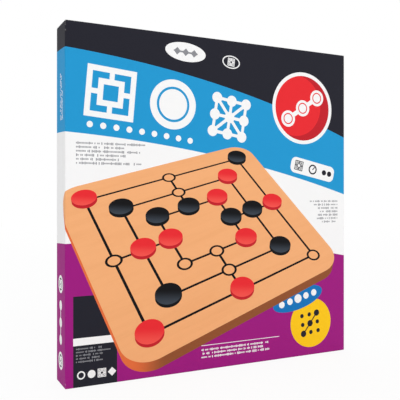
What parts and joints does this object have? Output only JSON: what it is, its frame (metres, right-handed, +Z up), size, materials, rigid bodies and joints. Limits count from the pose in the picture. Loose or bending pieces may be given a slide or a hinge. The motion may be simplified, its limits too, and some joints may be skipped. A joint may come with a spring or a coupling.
{
  "type": "boxed board game",
  "caption": "Flat upright cardboard game box with a lift-off lid, a moulded tray, a reversible morris board and round red and black stones.",
  "frame": {"origin": "middle of the footprint, on the surface that the box stands on", "axes": "+Z up the printed front, +X across the front to the right, +Y from the front to the back"},
  "size_m": [0.26, 0.028, 0.2729],
  "materials": {
    "greyboard": "uncoated grey board",
    "lid_print": "printed, semi-gloss lamination",
    "base_print": "printed, semi-gloss lamination",
    "tape": "gummed kraft paper",
    "tray_plastic": "thermoformed sheet, satin gloss",
    "board_wood": "printed and lacquered fibreboard",
    "leaflet_paper": "uncoated white paper, folded",
    "red_plastic": "moulded, glossy",
    "black_plastic": "moulded, glossy"
  },
  "bodies": {
    "base": {"base_shell": "greyboard", "base_wrap": "base_print", "base_corner_tapes": "tape", "tray": "tray_plastic"},
    "lid": {"lid_shell": "greyboard", "lid_wrap": "lid_print", "lid_corner_tapes": "tape"},
    "board": {"game_board": "board_wood"},
    "leaflet": {"rules_leaflet": "leaflet_paper"},
    "red_stone_1": {"red_stone_1": "red_plastic"},
    "red_stone_2": {"red_stone_2": "red_plastic"},
    "red_stone_3": {"red_stone_3": "red_plastic"},
    "red_stone_4": {"red_stone_4": "red_plastic"},
    "red_stone_5": {"red_stone_5": "red_plastic"},
    "red_stone_6": {"red_stone_6": "red_plastic"},
    "red_stone_7": {"red_stone_7": "red_plastic"},
    "red_stone_8": {"red_stone_8": "red_plastic"},
    "red_stone_9": {"red_stone_9": "red_plastic"},
    "black_stone_1": {"black_stone_1": "black_plastic"},
    "black_stone_2": {"black_stone_2": "black_plastic"},
    "black_stone_3": {"black_stone_3": "black_plastic"},
    "black_stone_4": {"black_stone_4": "black_plastic"},
    "black_stone_5": {"black_stone_5": "black_plastic"},
    "black_stone_6": {"black_stone_6": "black_plastic"},
    "black_stone_7": {"black_stone_7": "black_plastic"},
    "black_stone_8": {"black_stone_8": "black_plastic"},
    "black_stone_9": {"black_stone_9": "black_plastic"}
  },
  "joints": [
    {"name": "lid_lift", "type": "slide", "parent": "base", "child": "lid", "axis": [0, -1, 0], "range_m": [0, 0.28]},
    {"name": "board_lift", "type": "slide", "parent": "base", "child": "board", "axis": [0, -1, 0], "range_m": [0, 0.14]},
    {"name": "leaflet_lift", "type": "slide", "parent": "base", "child": "leaflet", "axis": [0, -1, 0], "range_m": [0, 0.084]},
    {"name": "red_stone_1_lift", "type": "slide", "parent": "base", "child": "red_stone_1", "axis": [0, -1, 0], "range_m": [0, 0.056]},
    {"name": "red_stone_2_lift", "type": "slide", "parent": "base", "child": "red_stone_2", "axis": [0, -1, 0], "range_m": [0, 0.056]},
    {"name": "red_stone_3_lift", "type": "slide", "parent": "base", "child": "red_stone_3", "axis": [0, -1, 0], "range_m": [0, 0.056]},
    {"name": "red_stone_4_lift", "type": "slide", "parent": "base", "child": "red_stone_4", "axis": [0, -1, 0], "range_m": [0, 0.056]},
    {"name": "red_stone_5_lift", "type": "slide", "parent": "base", "child": "red_stone_5", "axis": [0, -1, 0], "range_m": [0, 0.056]},
    {"name": "red_stone_6_lift", "type": "slide", "parent": "base", "child": "red_stone_6", "axis": [0, -1, 0], "range_m": [0, 0.056]},
    {"name": "red_stone_7_lift", "type": "slide", "parent": "base", "child": "red_stone_7", "axis": [0, -1, 0], "range_m": [0, 0.056]},
    {"name": "red_stone_8_lift", "type": "slide", "parent": "base", "child": "red_stone_8", "axis": [0, -1, 0], "range_m": [0, 0.056]},
    {"name": "red_stone_9_lift", "type": "slide", "parent": "base", "child": "red_stone_9", "axis": [0, -1, 0], "range_m": [0, 0.056]},
    {"name": "black_stone_1_lift", "type": "slide", "parent": "base", "child": "black_stone_1", "axis": [0, -1, 0], "range_m": [0, 0.056]},
    {"name": "black_stone_2_lift", "type": "slide", "parent": "base", "child": "black_stone_2", "axis": [0, -1, 0], "range_m": [0, 0.056]},
    {"name": "black_stone_3_lift", "type": "slide", "parent": "base", "child": "black_stone_3", "axis": [0, -1, 0], "range_m": [0, 0.056]},
    {"name": "black_stone_4_lift", "type": "slide", "parent": "base", "child": "black_stone_4", "axis": [0, -1, 0], "range_m": [0, 0.056]},
    {"name": "black_stone_5_lift", "type": "slide", "parent": "base", "child": "black_stone_5", "axis": [0, -1, 0], "range_m": [0, 0.056]},
    {"name": "black_stone_6_lift", "type": "slide", "parent": "base", "child": "black_stone_6", "axis": [0, -1, 0], "range_m": [0, 0.056]},
    {"name": "black_stone_7_lift", "type": "slide", "parent": "base", "child": "black_stone_7", "axis": [0, -1, 0], "range_m": [0, 0.056]},
    {"name": "black_stone_8_lift", "type": "slide", "parent": "base", "child": "black_stone_8", "axis": [0, -1, 0], "range_m": [0, 0.056]},
    {"name": "black_stone_9_lift", "type": "slide", "parent": "base", "child": "black_stone_9", "axis": [0, -1, 0], "range_m": [0, 0.056]}
  ],
  "couplings": [
    {"joint": "board_lift", "follows": "lid_lift", "ratio": 0.5},
    {"joint": "leaflet_lift", "follows": "lid_lift", "ratio": 0.3},
    {"joint": "red_stone_1_lift", "follows": "lid_lift", "ratio": 0.2},
    {"joint": "red_stone_2_lift", "follows": "lid_lift", "ratio": 0.2},
    {"joint": "red_stone_3_lift", "follows": "lid_lift", "ratio": 0.2},
    {"joint": "red_stone_4_lift", "follows": "lid_lift", "ratio": 0.2},
    {"joint": "red_stone_5_lift", "follows": "lid_lift", "ratio": 0.2},
    {"joint": "red_stone_6_lift", "follows": "lid_lift", "ratio": 0.2},
    {"joint": "red_stone_7_lift", "follows": "lid_lift", "ratio": 0.2},
    {"joint": "red_stone_8_lift", "follows": "lid_lift", "ratio": 0.2},
    {"joint": "red_stone_9_lift", "follows": "lid_lift", "ratio": 0.2},
    {"joint": "black_stone_1_lift", "follows": "lid_lift", "ratio": 0.2},
    {"joint": "black_stone_2_lift", "follows": "lid_lift", "ratio": 0.2},
    {"joint": "black_stone_3_lift", "follows": "lid_lift", "ratio": 0.2},
    {"joint": "black_stone_4_lift", "follows": "lid_lift", "ratio": 0.2},
    {"joint": "black_stone_5_lift", "follows": "lid_lift", "ratio": 0.2},
    {"joint": "black_stone_6_lift", "follows": "lid_lift", "ratio": 0.2},
    {"joint": "black_stone_7_lift", "follows": "lid_lift", "ratio": 0.2},
    {"joint": "black_stone_8_lift", "follows": "lid_lift", "ratio": 0.2},
    {"joint": "black_stone_9_lift", "follows": "lid_lift", "ratio": 0.2}
  ]
}
